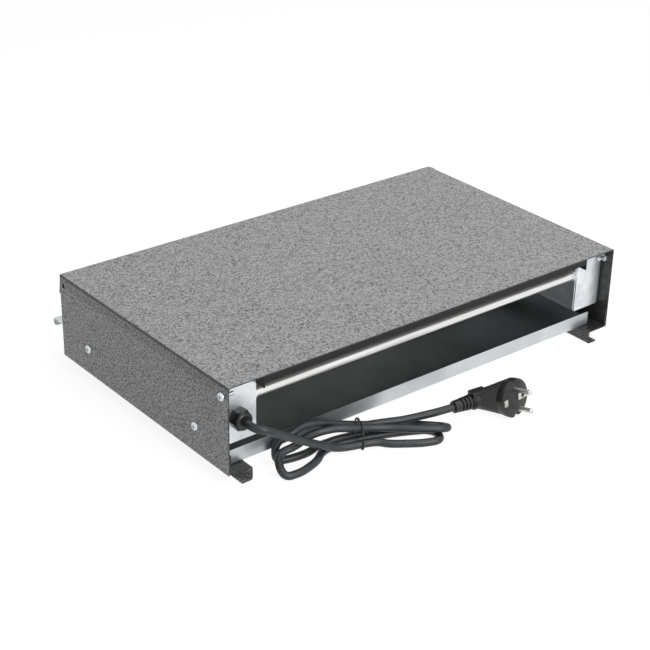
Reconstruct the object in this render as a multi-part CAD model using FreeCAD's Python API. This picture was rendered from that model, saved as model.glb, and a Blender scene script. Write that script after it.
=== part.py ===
# Cheese melter: a low heated hood over a sliding drip tray.
# A hammer-finished cover bridges two galvanised end boxes, which carry three straight
# heater tubes.  Folded foot rails carry the cover and the tray.
# Millimetres.  +Z is up, the loading side faces -Y, the cord leaves at the +Y side.
# The origin is on the floor, under the middle of the cover and tray.

import FreeCAD, Part
import math
import os

V = FreeCAD.Vector
UP = V(0, 0, 1)
RIGHT = V(1, 0, 0)
BACK = V(0, 1, 0)

# Driving sizes of the whole object
cover_width = 480.0
cover_depth = 280.0
cover_height = 88.0
foot_height = 13.0
grip_reach = 25.0

# Shared clearances and the overrun of every cut
cut_over = 2.0
slide_gap = 0.2
thread_gap = 0.05
level_enough = 1e-9

# Cover: top, two sides and a flared front lip from one sheet
cover_sheet = 1.2
cover_bend = 1.0
lip_height = 24.0
lip_flare = 4.0
lip_anchor = 10.0
lip_end_inset = 0.6
lip_corner = 4.0

# Side holes: M4 fixings, and a spare pair of holes at the front
screw_size = 4.0
screw_hole = 4.4
low_screw_rise = 27.6
low_screw_inset = 50.0
rear_screw_inset = 8.8
rear_screw_rise = 76.4
spare_hole = 5.0
spare_hole_inset = 6.0
spare_hole_rise = 77.5

# Foot rails
rail_sheet = 1.5
rail_bend = 1.2
rail_weld_height = 20.0
rail_ledge = 25.2
rail_toe = 11.0

# End boxes and the wall plates that close them towards the heat
box_sheet = 1.0
box_width = 36.3
box_setback = 12.0
box_rise = 24.0
box_corner = 5.0
plate_sheet = 1.0
plate_nut_gap = 2.4
plate_relief_height = 13.0
plate_bend = 0.8

# Reflector hood
hood_sheet = 0.8
hood_drop = 6.8
hood_cheek = 11.8
hood_end_inset = 0.5
hood_bend = 0.8
hood_cheek_sheet = 1.0
hood_side_gap = 0.2

# Heater tubes
tube_size = 10.0
tube_rise = 62.0
tube_inset = 19.6
tube_count = 3
tube_tail = 13.0
tube_hole = 10.6
collar_size = 12.4
collar_length = 3.0
clip_ring_size = 11.3
clip_ring_length = 1.2
bushing_size = 7.0
bushing_length = 4.0
stud_length = 9.0
stud_size = 4.0
stud_nut_flats = 7.0
stud_nut_height = 3.2

# Bus strips, return wire and supply wires
strip_width = 8.0
strip_sheet = 0.8
strip_end = 4.6
wire_size = 2.6
wire_lug_gap = 0.3
wire_notch_width = 6.0
wire_notch_depth = 6.4
wire_bend_run = 7.0
wire_reach = 8.0

# Terminal block and earth stud
block_length = 30.0
block_width = 17.0
block_height = 14.0
block_inset = 56.0
block_lug_height = 5.0
block_lug_width = 6.0
block_wire_offset = 4.5
block_screw_size = 3.6
block_screw_height = 1.2
block_poles = 3
block_round = 1.5
earth_inset = 28.0
earth_stud_length = 12.0
earth_washer_size = 9.0
earth_washer_sheet = 0.8

# Rocker switch in the front face of the end box on the cord side
switch_rise = 43.0
switch_cut_width = 22.0
switch_cut_height = 27.2
switch_bezel_width = 25.0
switch_bezel_height = 31.0
switch_bezel_sheet = 2.0
switch_depth = 19.0
switch_wall = 1.8
rocker_depth = 9.0
rocker_proud = 3.0
rocker_throw = 14.0
rocker_gap = 0.35
rocker_pivot_depth = 2.5
rocker_back = 4.0
rocker_dish_radius = 42.0
rocker_dish = 1.2
rocker_pin = 3.0
rocker_pin_reach = 1.4
tab_width = 6.3
tab_sheet = 0.8
tab_length = 8.0
tab_pitch = 11.0

# Drip tray: one folded pan with a high front and a grip
tray_width = 460.0
tray_shift = 6.0
tray_sheet = 0.8
tray_bend = 0.8
tray_back_rise = 17.0
tray_side_rise = 10.0
tray_front_rise = 30.0
tray_front_inset = 2.0
grip_drop = 9.5
grip_corner = 4.5

# Pan-head screws and hexagon nuts
head_size = 8.4
head_height = 2.6
head_round = 1.8
recess_depth = 1.3
recess_width = 1.1
recess_span = 4.4
screw_length = 8.0
rear_screw_length = 11.5
nut_flats = 7.0
nut_height = 3.2

# Cable gland
gland_place_share = 0.4628
gland_rise = 48.5
gland_hole = 15.6
gland_thread = 15.2
gland_hex = 17.5
gland_hex_height = 4.0
gland_dome_flats = 18.0
gland_dome_mouth = 11.5
gland_dome_length = 8.5
gland_dome_hex_length = 4.6
gland_inner_length = 8.0
gland_neck_size = 14.0
gland_neck_length = 5.5
gland_seal_size = 10.4
gland_seal_length = 9.0
gland_lock_height = 4.0
dome_swell = 0.9
dome_land = 0.6

# Supply cord: its round sheath, its route and the hank
cord_size = 7.6
cord_run_share = 0.45
inner_cord_end = 14.0

# Free stretch from the gland to the hank: a route chosen by hand, between its two end runs
lead_first_run = 11.4
lead_last_run = 8.0
lead_way = [
    (219.0, 169.6, 61.3),
    (213.0, 172.4, 59.6),
    (203.5, 172.0, 53.2),
    (187.0, 168.6, 41.8),
    (164.5, 165.2, 27.0),
    (142.5, 162.6, 13.6),
]

# Place and heading of the tied waist of the hank, and its five strands: across and up
waist_place = (106.0, 170.5)
waist_heading = 165.0
waist_strands = [(0.0, 5.35), (8.4, 5.35), (8.4, 13.75), (16.8, 5.35), (13.4, 20.9)]
waist_straight = 9.0
waist_end_straight = 13.0

# The four folds of the hank, each as the places that its strand passes: distance along,
# across and up from the waist, then the heading there in plan and its pitch, in degrees
folds = [
    [(31.0, -8.5, 3.8, -20.0, 0.0), (66.0, -18.0, 3.8, -3.0, 0.0), (66.0, 3.5, 3.8, 166.0, 0.0)],
    [(-30.0, 6.2, 3.8, 203.0, 0.0), (-52.0, -12.5, 3.8, 213.0, 0.0), (-74.0, -22.5, 3.8, 188.0, 0.0),
     (-73.0, -3.5, 18.6, 6.0, 8.0), (-42.0, 8.6, 21.6, 18.0, 0.0), (-26.0, 11.0, 17.6, 8.0, -12.0)],
    [(74.0, -12.5, 12.6, -14.0, -3.0), (80.0, 7.0, 3.8, 152.0, 0.0), (50.0, 20.5, 3.8, 174.0, 0.0)],
    [(-31.0, 15.4, 3.8, 190.0, 0.0), (-52.0, 6.4, 3.8, 196.0, 0.0), (-72.0, 3.6, 3.8, 180.0, 0.0), (-72.0, 5.8, 26.0, 4.0, 14.0),
     (-47.0, 11.6, 30.6, 4.0, 0.0), (-27.0, 14.4, 27.8, 0.0, -12.0)],
]

# The tie round the waist
tie_size = 1.5
tie_pitch = 3.4
tie_gap = 0.03
tie_knot_size = 2.8
tie_knot_length = 6.5

# Free stretch from the hank to the plug: a route chosen by hand, between its two end runs
tail_first_run = 6.0
tail_last_run = 14.0
tail_way = [
    (73.5, 165.4, 16.6),
    (56.0, 171.6, 14.8),
    (37.0, 176.2, 14.0),
]

# Plug: an angled earthed plug lying on the edge of its face
plug_face_size = 38.0
plug_rim = 5.0
plug_place = (-50.1, 211.8)
plug_pin_heading = 98.0
plug_pin_rise = 10.0
plug_cable_swing = 66.0
plug_cable_dip = 2.3
plug_elbow = 14.0
plug_relief_length = 22.0
plug_relief_small = 11.6
plug_relief_large = 15.0
plug_relief_rings = 4
plug_relief_plain = 7.0
plug_back_size = 37.0
plug_waist_size = 31.0
plug_waist_swing = 33.0
plug_neck_length = 31.7
plug_neck_size = 17.0
plug_groove = 1.0
guide_size = 6.0
guide_length = 14.0
pin_size = 4.8
pin_length = 19.0
pin_pitch = 19.0
clip_width = 6.5
clip_sheet = 0.9
clip_length = 12.0
clip_hook = 4.0
clip_plate = 13.0
clip_notch = 2.6
socket_size = 4.8
socket_offset = 10.0
socket_depth = 8.0
thumb_length = 15.0
thumb_width = 14.0
thumb_height = 4.5

# Sizes worked out from the ones above
half_width = cover_width / 2
total_depth = cover_depth + grip_reach
y_rear = total_depth / 2
y_front = y_rear - cover_depth
y_grip = -total_depth / 2
z_cover = foot_height
z_top = foot_height + cover_height
z_under = z_top - cover_sheet
x_inside = half_width - cover_sheet
box_outer = x_inside
box_inner = box_outer - box_width
plate_inner = box_inner - plate_sheet
y_box_rear = y_rear - box_setback
y_box_front = y_front + box_setback
z_box = z_cover + box_rise
z_hood = z_under - hood_drop
z_tube = z_cover + tube_rise
tube_span = cover_depth - 2 * tube_inset
tube_places = [y_rear - tube_inset - tube_span * i / (tube_count - 1) for i in range(tube_count)]
z_ledge = z_cover + rail_sheet
z_tray = z_ledge + slide_gap
cord_radius = cord_size / 2

os.makedirs("parts", exist_ok=True)


def save(node, *solids):
    """Write one node, a solid or a group of separate solids, and report it."""
    shape = solids[0] if len(solids) == 1 else Part.makeCompound(list(solids))
    shape.exportStep(f"parts/{node}.step")
    print(f"{node}: {len(shape.Solids)} solids, {shape.Volume / 1000:.2f} cm3, valid {shape.isValid()}")
    return shape


def block(x_ends, y_ends, z_ends):
    """A box between two values along each axis, in either order."""
    low = V(min(x_ends), min(y_ends), min(z_ends))
    high = V(max(x_ends), max(y_ends), max(z_ends))
    size = high - low
    return Part.makeBox(size.x, size.y, size.z, low)


def rod(start, direction, length, size):
    """A cylinder of a given diameter."""
    return Part.makeCylinder(size / 2, length, start, direction)


def ring(start, direction, length, size, bore):
    """A tube or washer: an outer diameter with a bore right through."""
    cut = rod(start - direction * cut_over, direction, length + 2 * cut_over, bore)
    return rod(start, direction, length, size).cut(cut)


def hexagon(start, direction, length, flats, turn=0.0):
    """A hexagonal prism, measured across its flats."""
    frame = FreeCAD.Rotation(UP, direction)
    reach = flats / math.sqrt(3)
    corners = [
        start + frame.multVec(V(math.cos(a), math.sin(a), 0)) * reach
        for a in (math.radians(turn + 60 * i) for i in range(7))
    ]
    return Part.Face(Part.makePolygon(corners)).extrude(direction * length)


def nut(start, direction, height, flats, bore, turn=0.0):
    """A hexagon nut with its bore."""
    cut = rod(start - direction * cut_over, direction, height + 2 * cut_over, bore)
    return hexagon(start, direction, height, flats, turn).cut(cut)


def mirrored(shape):
    """The same piece on the other side of the object."""
    return shape.mirror(V(0, 0, 0), RIGHT)


def fold(route, sheet, bend, place, along):
    """A folded sheet: route is the middle line of its section, bend its inside radius."""
    edges = []
    points = [V(a, b, 0) for a, b in route]
    headings = [(q - p).normalize() for p, q in zip(points, points[1:])]
    ends = {}
    for offset in (sheet / 2, -sheet / 2):
        side = [UP.cross(h) * offset for h in headings]
        here = points[0] + side[0]
        ends[offset] = [here]
        for i, corner in enumerate(points[1:-1]):
            before, after = headings[i], headings[i + 1]
            turn = before.getAngle(after)
            sign = 1 if before.cross(after).z > 0 else -1
            middle = bend + sheet / 2
            back_off = middle * math.tan(turn / 2)
            centre = corner - before * back_off + UP.cross(before) * middle * sign
            radius = middle - sign * offset
            start = corner - before * back_off + side[i]
            finish = corner + after * back_off + side[i + 1]
            top = centre + (corner - centre).normalize() * radius
            edges.append(Part.LineSegment(here, start).toShape())
            edges.append(Part.Arc(start, top, finish).toShape())
            here = finish
        last = points[-1] + side[-1]
        edges.append(Part.LineSegment(here, last).toShape())
        ends[offset].append(last)
    first, second = ends.values()
    edges += [Part.LineSegment(p, q).toShape() for p, q in zip(first, second)]
    wire = Part.Wire(Part.__sortEdges__(edges))
    return Part.Face(wire).transformed(place).extrude(along)


def plane_matrix(first, second):
    """The matrix that lays a flat section's two axes along two directions."""
    third = first.cross(second)
    return FreeCAD.Matrix(
        first.x, second.x, third.x, 0, first.y, second.y, third.y, 0, first.z, second.z, third.z, 0, 0, 0, 0, 1
    )


across_x = plane_matrix(RIGHT, UP)
across_y = plane_matrix(BACK, UP)
flat = plane_matrix(RIGHT, BACK)


def moved(shape, offset):
    """A copy of a shape, shifted."""
    copy = shape.copy()
    copy.translate(offset)
    return copy


def edges_where(shape, test):
    """The edges of a shape whose middle point and heading pass a test."""
    found = []
    for edge in shape.Edges:
        ends = [v.Point for v in edge.Vertexes]
        if len(ends) == 2 and test((ends[0] + ends[1]) * 0.5, ends[1] - ends[0]):
            found.append(edge)
    return found


def pan_screw(seat, direction, length, size):
    """A pan-head screw with a cross recess: seat is under its head, direction is the way it points."""
    head = rod(seat - direction * head_height, direction, head_height, head_size)
    outer = [e for e in head.Edges if abs((e.CenterOfMass - seat).dot(direction) + head_height) < thread_gap]
    outer = [e for e in outer if len(e.Vertexes) == 1]
    head = head.makeFillet(head_round, outer)
    frame = FreeCAD.Rotation(UP, direction)
    for turn in (0, 90):
        slot = Part.makeBox(recess_span, recess_width, recess_depth + cut_over)
        slot.translate(V(-recess_span / 2, -recess_width / 2, -cut_over))
        slot.rotate(V(0, 0, 0), UP, turn)
        slot.Placement = FreeCAD.Placement(seat - direction * head_height, frame).multiply(slot.Placement)
        head = head.cut(slot)
    return head.fuse(rod(seat, direction, length, size)).removeSplitter()


def vector(point):
    return V(*point)


def rounded_route(points):
    """Straight runs joined by tangent arcs, each as large as its two runs allow."""
    points = [vector(p) for p in points]
    runs = [q - p for p, q in zip(points, points[1:])]
    edges, radii, here = [], [], points[0]
    for i, corner in enumerate(points[1:-1]):
        before, after = runs[i], runs[i + 1]
        half_turn = before.getAngle(after) / 2
        shorter = min(before.Length, after.Length)
        reach = cord_run_share * shorter
        radius = reach / math.tan(half_turn)
        start = corner - V(before).normalize() * reach
        finish = corner + V(after).normalize() * reach
        inwards = ((start + finish) * 0.5 - corner).normalize()
        top = corner + inwards * (radius / math.cos(half_turn) - radius)
        edges.append(Part.LineSegment(here, start).toShape())
        edges.append(Part.Arc(start, top, finish).toShape())
        radii.append(radius)
        here = finish
    edges.append(Part.LineSegment(here, points[-1]).toShape())
    return edges, radii


def tube(edges, size, start, heading):
    """A round tube along tangent lines and arcs."""
    section = Part.Wire(Part.Circle(start, heading, size / 2).toShape())
    return Part.Wire(edges).makePipeShell([section], True, False)


def report_tube(name, solid, edges, size, radii):
    length = sum(e.Length for e in edges)
    volume = length * math.pi * size * size / 4
    print(f"{name}: length {length:.1f} mm, least radius {min(radii):.1f} mm, "
          f"volume over section times length {solid.Volume / volume:.4f}")
    return length


def biarc(start, start_heading, finish, finish_heading):
    """Two tangent arcs from one point and heading to another."""
    reach = finish - start
    both = start_heading + finish_heading
    spread = 2 * (start_heading.dot(finish_heading) - 1)
    along = reach.dot(both)
    if abs(spread) < level_enough:
        handle = reach.dot(reach) / (2 * along)
    else:
        handle = (along - math.sqrt(along * along - spread * reach.dot(reach))) / spread
    first = start + start_heading * handle
    second = finish - finish_heading * handle
    joint = (first + second) * 0.5
    arcs, radii = [], []
    for p, corner, q in ((start, first, joint), (joint, second, finish)):
        middle = (p + q) * 0.5
        half_chord = (q - p).Length / 2
        height = (corner - middle).Length
        half_turn = math.atan2(height, half_chord)
        top = middle + (corner - middle).normalize() * (half_chord * math.tan(half_turn / 2))
        arcs.append(Part.Arc(p, top, q).toShape())
        radii.append(half_chord / math.sin(half_turn))
    return arcs, radii


# Cover shell

def make_cover():
    middle = cover_sheet / 2
    x_side = half_width - middle
    section = [(-x_side, z_cover), (-x_side, z_top - middle), (x_side, z_top - middle), (x_side, z_cover)]
    shell = fold(section, cover_sheet, cover_bend, across_x, BACK * cover_depth)
    shell = moved(shell, V(0, y_front - shell.BoundBox.YMin, 0))
    lip_section = [
        (y_front + lip_anchor, z_top - middle),
        (y_front + middle, z_top - middle),
        (y_front + middle - lip_flare, z_top - lip_height),
    ]
    lip_width = cover_width - 2 * lip_end_inset
    lip = fold(lip_section, cover_sheet, cover_bend, across_y, RIGHT * lip_width)
    lip = moved(lip, V(-lip_width / 2 - lip.BoundBox.XMin, 0, 0))
    low_ends = edges_where(lip, lambda m, d: m.z < z_top - lip_height + cover_sheet and abs(d.x) < cover_sheet
                           and abs(m.x) > lip_width / 2 - lip_end_inset)
    lip = lip.makeFillet(lip_corner, [e for e in low_ends if abs(e.Length - cover_sheet) < thread_gap])
    shell = shell.fuse(lip).removeSplitter()
    for y, z, size in side_holes:
        shell = shell.cut(rod(V(-half_width - cut_over, y, z), RIGHT, cover_width + 2 * cut_over, size))
    return shell


low_screws = [(y_rear - low_screw_inset, z_cover + low_screw_rise),
              (y_front + low_screw_inset, z_cover + low_screw_rise)]
rear_screw = (y_rear - rear_screw_inset, z_cover + rear_screw_rise)
spare = (y_front + spare_hole_inset, z_cover + spare_hole_rise)
side_holes = [(y, z, screw_hole) for y, z in low_screws + [rear_screw]] + [(spare[0], spare[1], spare_hole)]
save("cover_shell", make_cover())


# Foot rails: spot-welded inside the cover's sides, a ledge for the tray and an outward toe

def make_rail():
    middle = rail_sheet / 2
    x_weld = x_inside - middle
    x_web = half_width - rail_ledge
    section = [
        (x_weld, z_cover + rail_weld_height),
        (x_weld, z_ledge - middle),
        (x_web, z_ledge - middle),
        (x_web, middle),
        (x_web + rail_toe, middle),
    ]
    rail = fold(section, rail_sheet, rail_bend, across_x, BACK * cover_depth)
    return moved(rail, V(0, y_front - rail.BoundBox.YMin, 0))


rail = make_rail()
save("foot_rail_right", rail)
save("foot_rail_left", mirrored(rail))


# End boxes: folded trays, open upwards and towards the chamber

def make_end_box():
    def tray(inset, corner):
        ends = (plate_inner - (cut_over if inset else 0), box_outer - inset)
        body = block(ends, (y_box_front + inset, y_box_rear - inset), (z_box + inset, z_under + inset))

        def outside(middle, heading):
            upright = abs(heading.z) > abs(heading.x) + abs(heading.y) and middle.x > box_outer - corner
            floor = middle.z < z_box + corner and middle.x > box_outer - corner and abs(heading.y) > corner
            return upright or floor
        return body.makeFillet(corner, edges_where(body, outside))
    shell = tray(0, box_corner).cut(tray(box_sheet, box_corner - box_sheet))
    under_bend = block((box_outer - cover_bend, box_outer + cut_over), (y_box_front - cut_over, y_box_rear + cut_over),
                       (z_under - cover_bend, z_under + cut_over))
    shell = shell.cut(under_bend)
    for y, z in low_screws:
        shell = shell.cut(rod(V(box_inner, y, z), RIGHT, box_width + cut_over, screw_hole))
    return shell


x_gland = box_outer - box_width * gland_place_share
z_gland = z_cover + gland_rise
x_switch = (box_outer + box_inner) / 2
z_switch = z_cover + switch_rise
box = make_end_box()
gland_cut = rod(V(x_gland, y_box_rear - box_width, z_gland), BACK, box_width + cut_over, gland_hole)
switch_cut = block(
    (x_switch - switch_cut_width / 2, x_switch + switch_cut_width / 2),
    (y_box_front - cut_over, y_box_front + box_sheet + cut_over),
    (z_switch - switch_cut_height / 2, z_switch + switch_cut_height / 2),
)
save("end_box_cord_side", box.cut(gland_cut).cut(switch_cut))
save("end_box_far_side", mirrored(box))


# Wall plates: close the end boxes, carry the heater tubes

def make_wall_plate():
    middle = plate_sheet / 2
    x_wall = box_inner - middle
    plate_return = x_gland - gland_hex / math.sqrt(3) - plate_nut_gap - x_wall
    y_back = y_box_rear - box_sheet - middle
    y_fore = y_box_front + box_sheet + middle
    section = [(x_wall + plate_return, y_back), (x_wall, y_back), (x_wall, y_fore), (x_wall + plate_return, y_fore)]
    height = z_under - z_box - box_sheet
    plate = fold(section, plate_sheet, plate_bend, flat, UP * height)
    plate = moved(plate, UP * (z_box + box_sheet))
    for y in tube_places:
        plate = plate.cut(rod(V(box_inner - plate_sheet - cut_over, y, z_tube), RIGHT, plate_sheet + 2 * cut_over,
                              tube_hole))
    for y_return in (y_back, y_fore):
        relief = block((box_inner, box_inner + plate_return + cut_over), (y_return - cut_over, y_return + cut_over),
                       (z_tube - plate_relief_height / 2, z_tube + plate_relief_height / 2))
        plate = plate.cut(relief)
    notch_ends = (y_wire - wire_notch_width / 2, y_wire + wire_notch_width / 2)
    notch = block((plate_inner - cut_over, box_inner + cut_over), notch_ends,
                  (z_under - wire_notch_depth, z_under + cut_over))
    return plate.cut(notch)


y_block = y_box_rear - block_inset
block_pitch = block_length / block_poles
y_wire = y_block + block_pitch
plate = make_wall_plate()
save("wall_plate_cord_side", plate)
save("wall_plate_far_side", mirrored(plate))


# Reflector hood: a shallow pan that hangs under the cover between the wall plates

def make_hood():
    middle = hood_sheet / 2
    y_back = y_rear - hood_end_inset - middle
    y_fore = y_front + cover_sheet + cover_bend + middle
    half_hood = plate_inner - hood_side_gap - hood_cheek_sheet
    section = [(y_back, z_under), (y_back, z_hood + middle), (y_fore, z_hood + middle), (y_fore, z_under)]
    pan = fold(section, hood_sheet, hood_bend, across_y, RIGHT * 2 * half_hood)
    pan = moved(pan, V(-half_hood - pan.BoundBox.XMin, 0, 0))
    y_ends = (y_back + middle, y_fore - middle)
    z_ends = (z_under - hood_cheek, z_under)
    for side in (1, -1):
        cheek = block((side * half_hood, side * (half_hood + hood_cheek_sheet)), y_ends, z_ends)
        notch = block((side * (half_hood - cut_over), side * (half_hood + 2 * cut_over)),
                      (y_wire - wire_notch_width / 2, y_wire + wire_notch_width / 2), (z_hood + hood_sheet, z_top))
        pan = pan.fuse(cheek.cut(notch))
    return pan.removeSplitter()


save("reflector_hood", make_hood())


# Heater tubes with collars, retaining rings, ceramic bushings and threaded studs

tube_end = box_inner + tube_tail
bushing_end = tube_end + bushing_length
names = ["rear", "middle", "front"]
for i, y in enumerate(tube_places):
    name = names[i] if i < len(names) else f"extra_{i}"
    save(f"heater_{name}", rod(V(-tube_end, y, z_tube), RIGHT, 2 * tube_end, tube_size))

collars, clip_rings, bushings, studs, stud_nuts = [], [], [], [], []
strip_near = bushing_end + strip_sheet
for y in tube_places:
    for side in (1, -1):
        out = RIGHT * side
        at = V(0, y, z_tube)
        bore = tube_size + 2 * thread_gap
        collars.append(ring(at + out * (plate_inner - collar_length), out, collar_length, collar_size, bore))
        clip_rings.append(ring(at + out * box_inner, out, clip_ring_length, clip_ring_size, bore))
        bushings.append(rod(at + out * tube_end, out, bushing_length, bushing_size))
        studs.append(rod(at + out * bushing_end, out, stud_length, stud_size))
        stud_nuts.append(nut(at + out * strip_near, out, stud_nut_height, stud_nut_flats, stud_size + 2 * thread_gap))
save("heater_collars", *collars)
save("heater_retaining_rings", *clip_rings)
save("terminal_bushings", *bushings)
save("terminal_studs", *studs)
save("terminal_nuts", *stud_nuts)


# Bus strips join the studs in each end box

def make_strip():
    y_ends = (tube_places[0] + strip_end, tube_places[-1] - strip_end)
    strip = block((bushing_end, strip_near), y_ends, (z_tube - strip_width / 2, z_tube + strip_width / 2))
    for y in tube_places:
        hole = stud_size + 2 * thread_gap
        strip = strip.cut(rod(V(bushing_end - cut_over, y, z_tube), RIGHT, strip_sheet + 2 * cut_over, hole))
    return strip


strip = make_strip()
save("bus_strip_cord_side", strip)
save("bus_strip_far_side", mirrored(strip))


# Terminal block: a moulded body with three raised poles, each with a clamp screw

x_mid_box = (box_inner + box_outer) / 2
z_box_floor = z_box + box_sheet
z_lug = z_box_floor + block_height + block_lug_height
poles = [y_block + block_pitch * (i - (block_poles - 1) / 2) for i in range(block_poles)]


def make_terminal_block():
    body = block((x_mid_box - block_width / 2, x_mid_box + block_width / 2),
                 (y_block - block_length / 2, y_block + block_length / 2),
                 (z_box_floor, z_box_floor + block_height))
    body = body.makeFillet(block_round, edges_where(body, lambda m, d: abs(d.z) > abs(d.x) + abs(d.y)))
    for y in poles:
        lug = block((x_mid_box - block_width / 2 + block_round, x_mid_box + block_width / 2 - block_round),
                    (y - block_lug_width / 2, y + block_lug_width / 2), (z_box_floor + block_height, z_lug))
        body = body.fuse(lug)
    return body.removeSplitter()


save("terminal_block", make_terminal_block())
save("terminal_block_screws",
     *[rod(V(x_mid_box, y, z_lug), UP, block_screw_height, block_screw_size) for y in poles])


# Earth stud: stands on the floor of the end box, with a washer and a nut

earth_foot = V(x_mid_box, y_box_rear - earth_inset, z_box_floor)
earth_bore = screw_size + 2 * thread_gap
save("earth_stud", rod(earth_foot, UP, earth_stud_length, screw_size))
save("earth_nut", nut(earth_foot + UP * earth_washer_sheet, UP, nut_height, nut_flats, earth_bore))
save("earth_washer", ring(earth_foot, UP, earth_washer_sheet, earth_washer_size, earth_bore))


# Rocker switch: a framed body snapped into the front of the end box, and its rocker

y_pivot = y_box_front + rocker_pivot_depth
cave_width = switch_cut_width - 2 * switch_wall
cave_height = switch_cut_height - 2 * switch_wall
y_tabs = y_box_front + switch_depth + tab_length


def make_switch_body():
    fit = 2 * thread_gap
    bezel = block((x_switch - switch_bezel_width / 2, x_switch + switch_bezel_width / 2),
                  (y_box_front - switch_bezel_sheet, y_box_front),
                  (z_switch - switch_bezel_height / 2, z_switch + switch_bezel_height / 2))
    front_edges = edges_where(bezel, lambda m, d: m.y < y_box_front - switch_bezel_sheet + thread_gap)
    bezel = bezel.makeChamfer(switch_bezel_sheet / 2, front_edges)
    body = block((x_switch - switch_cut_width / 2 + fit, x_switch + switch_cut_width / 2 - fit),
                 (y_box_front, y_box_front + switch_depth),
                 (z_switch - switch_cut_height / 2 + fit, z_switch + switch_cut_height / 2 - fit))
    cave = block((x_switch - cave_width / 2, x_switch + cave_width / 2),
                 (y_box_front - switch_bezel_sheet - cut_over, y_box_front + rocker_depth),
                 (z_switch - cave_height / 2, z_switch + cave_height / 2))
    axle = rod(V(x_switch - switch_cut_width, y_pivot, z_switch), RIGHT, 2 * switch_cut_width,
               rocker_pin + 2 * thread_gap)
    body = bezel.fuse(body).cut(cave).cut(axle)
    for side in (1, -1):
        z = z_switch + side * tab_pitch / 2
        body = body.fuse(block((x_switch - tab_width / 2, x_switch + tab_width / 2),
                               (y_box_front + switch_depth, y_tabs), (z - tab_sheet / 2, z + tab_sheet / 2)))
    return body.removeSplitter()


def make_rocker():
    radius = cave_height / 2 - rocker_gap
    width = cave_width - 2 * rocker_gap
    y_face = y_box_front - switch_bezel_sheet - rocker_proud
    drum = rod(V(x_switch - width / 2, y_pivot, z_switch), RIGHT, width, 2 * radius)
    keep = block((x_switch - width / 2, x_switch + width / 2), (y_face, y_pivot + rocker_back),
                 (z_switch - radius, z_switch + radius))
    dish = rod(V(x_switch - width, y_face - rocker_dish_radius + rocker_dish, z_switch), RIGHT, 2 * width,
               2 * rocker_dish_radius)
    pin_length = width + 2 * (rocker_gap + rocker_pin_reach)
    pins = rod(V(x_switch - pin_length / 2, y_pivot, z_switch), RIGHT, pin_length, rocker_pin)
    rocker = drum.common(keep).cut(dish).fuse(pins).removeSplitter()
    rocker.rotate(V(x_switch, y_pivot, z_switch), RIGHT, -rocker_throw / 2)
    return rocker


save("switch_body", make_switch_body())
save("switch_rocker", make_rocker())
print(f"rocker pivot at x {x_switch:.2f}, y {y_pivot:.2f}, z {z_switch:.2f}")


# Wires: the return wire lies on the hood, the others stay in the end box

def make_wire(route):
    edges, radii = rounded_route(route)
    points = [vector(p) for p in route]
    return tube(edges, wire_size, points[0], points[1] - points[0])


z_wire = z_hood + hood_sheet + wire_size / 2 + wire_lug_gap
x_strip = bushing_end + strip_sheet / 2
x_pole = x_mid_box - block_wire_offset
x_feed = x_mid_box + block_wire_offset
save("return_wire", make_wire([
    (-x_strip, y_wire, z_tube + strip_width / 2),
    (-x_strip, y_wire, z_wire),
    (x_pole, y_wire, z_wire),
    (x_pole, y_wire, z_lug),
]))

y_inner_cord = y_box_rear - box_sheet - gland_inner_length - inner_cord_end
z_feed = z_lug + wire_bend_run
core_circle = wire_size / math.sqrt(3) + thread_gap
supply = []
for y, turn in zip(poles, (90, 330, 210)):
    x = x_gland + core_circle * math.cos(math.radians(turn))
    z = z_gland + core_circle * math.sin(math.radians(turn))
    supply.append(make_wire([
        (x, y_inner_cord, z),
        (x, y_inner_cord - wire_bend_run / 2, z),
        (x_feed + (x - x_gland), y + wire_reach, z_feed + (z - z_gland)),
        (x_feed, y, z_feed),
        (x_feed, y, z_lug),
    ]))
save("supply_wires", *supply)

z_tabs = [z_switch - tab_pitch / 2, z_switch + tab_pitch / 2]
switch_wires = [
    make_wire([
        (x_pole, poles[0], z_lug),
        (x_pole, poles[0], z_feed),
        (x_pole, y_tabs + 2 * wire_reach, z_feed),
        (x_switch, y_tabs + wire_reach, z_tabs[1]),
        (x_switch, y_tabs, z_tabs[1]),
    ]),
    make_wire([
        (x_switch, y_tabs, z_tabs[0]),
        (x_switch, y_tabs + wire_reach, z_tabs[0]),
        (x_strip, y_tabs + 2 * wire_reach, z_tabs[0] + wire_reach),
        (x_strip, y_tabs + 2 * wire_reach + wire_bend_run, z_tube - strip_width / 2 - wire_reach),
        (x_strip, y_tabs + 2 * wire_reach + wire_bend_run, z_tube - strip_width / 2),
    ]),
]
save("switch_wires", *switch_wires)


# Drip tray: a folded pan with a high front wall, a grip and its turned-down edge, parted just past each bend into
# flat panels, and two side walls that stand between the pan's own walls

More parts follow.
